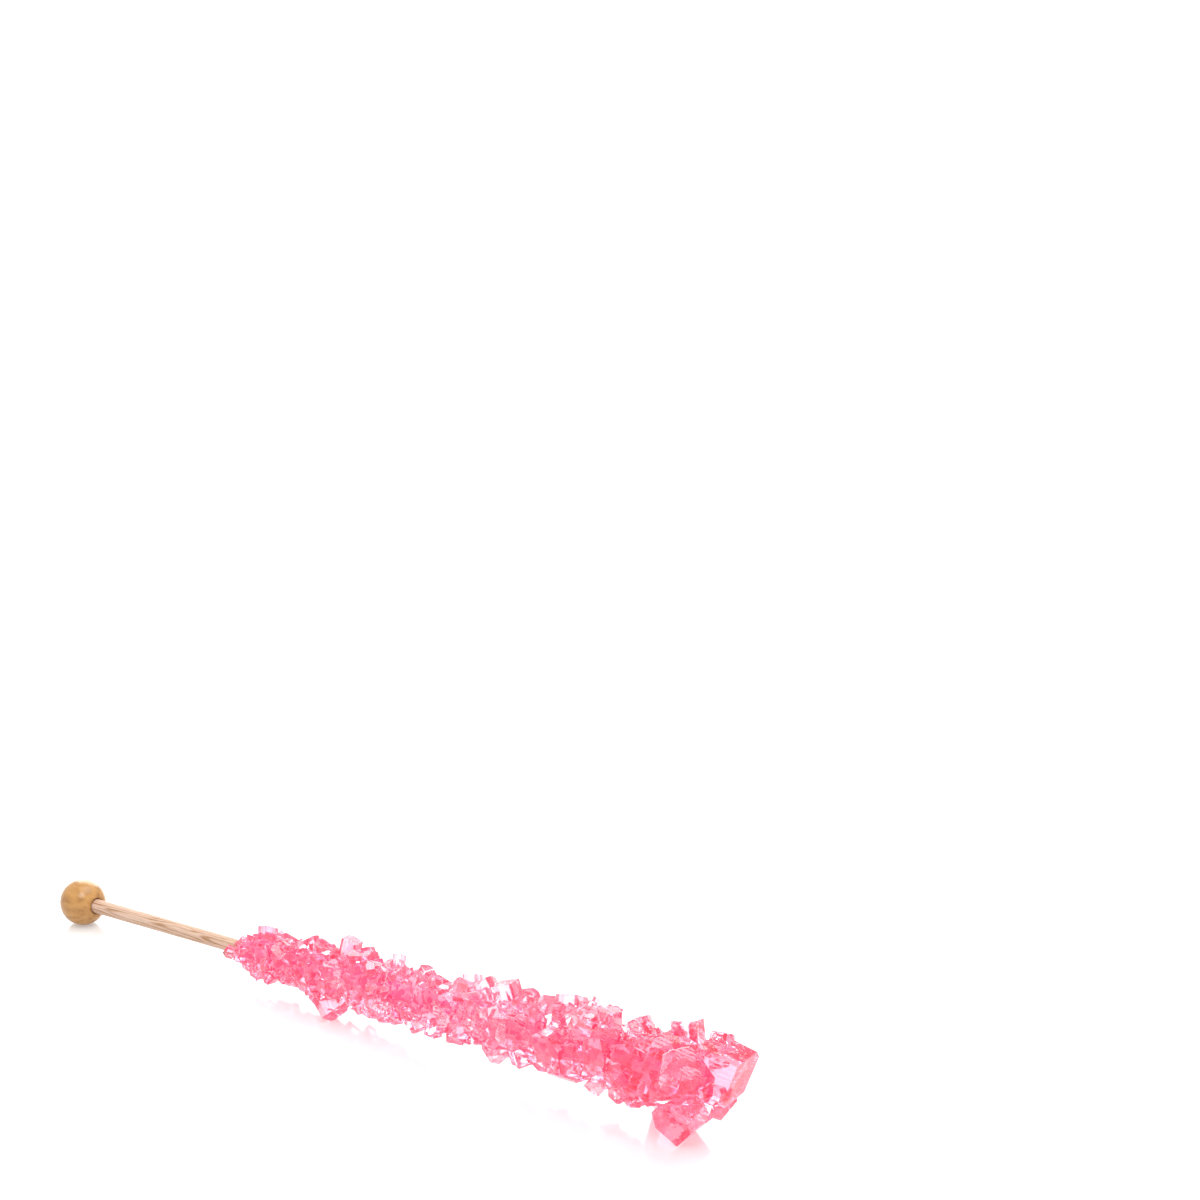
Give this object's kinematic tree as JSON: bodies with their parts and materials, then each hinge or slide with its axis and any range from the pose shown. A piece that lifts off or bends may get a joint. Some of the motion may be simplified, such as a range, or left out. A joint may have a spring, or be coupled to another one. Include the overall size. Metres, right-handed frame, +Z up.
{
  "type": "rock candy stick",
  "caption": "Pink rock candy grown on a thin wooden dowel with a turned wooden ball on its free end, lying on its side.",
  "frame": {"origin": "on the surface that the stick lies on, under the middle of its bounding box", "axes": "+X from the wooden ball towards the candy's tip, +Y to the left of that, +Z up; the stick rises 2.7 degrees towards +X"},
  "size_m": [0.1776, 0.02, 0.022],
  "materials": {
    "ball_wood": "polished honey-coloured hardwood with a soft sheen",
    "dowel_wood": "plain sanded pale beech",
    "sugar_crystal": "clear pink sugar crystals, glossy facets over a cloudy middle"
  },
  "bodies": {
    "root": {"ball": "ball_wood", "dowel": "dowel_wood", "candy": "sugar_crystal"}
  },
  "joints": []
}
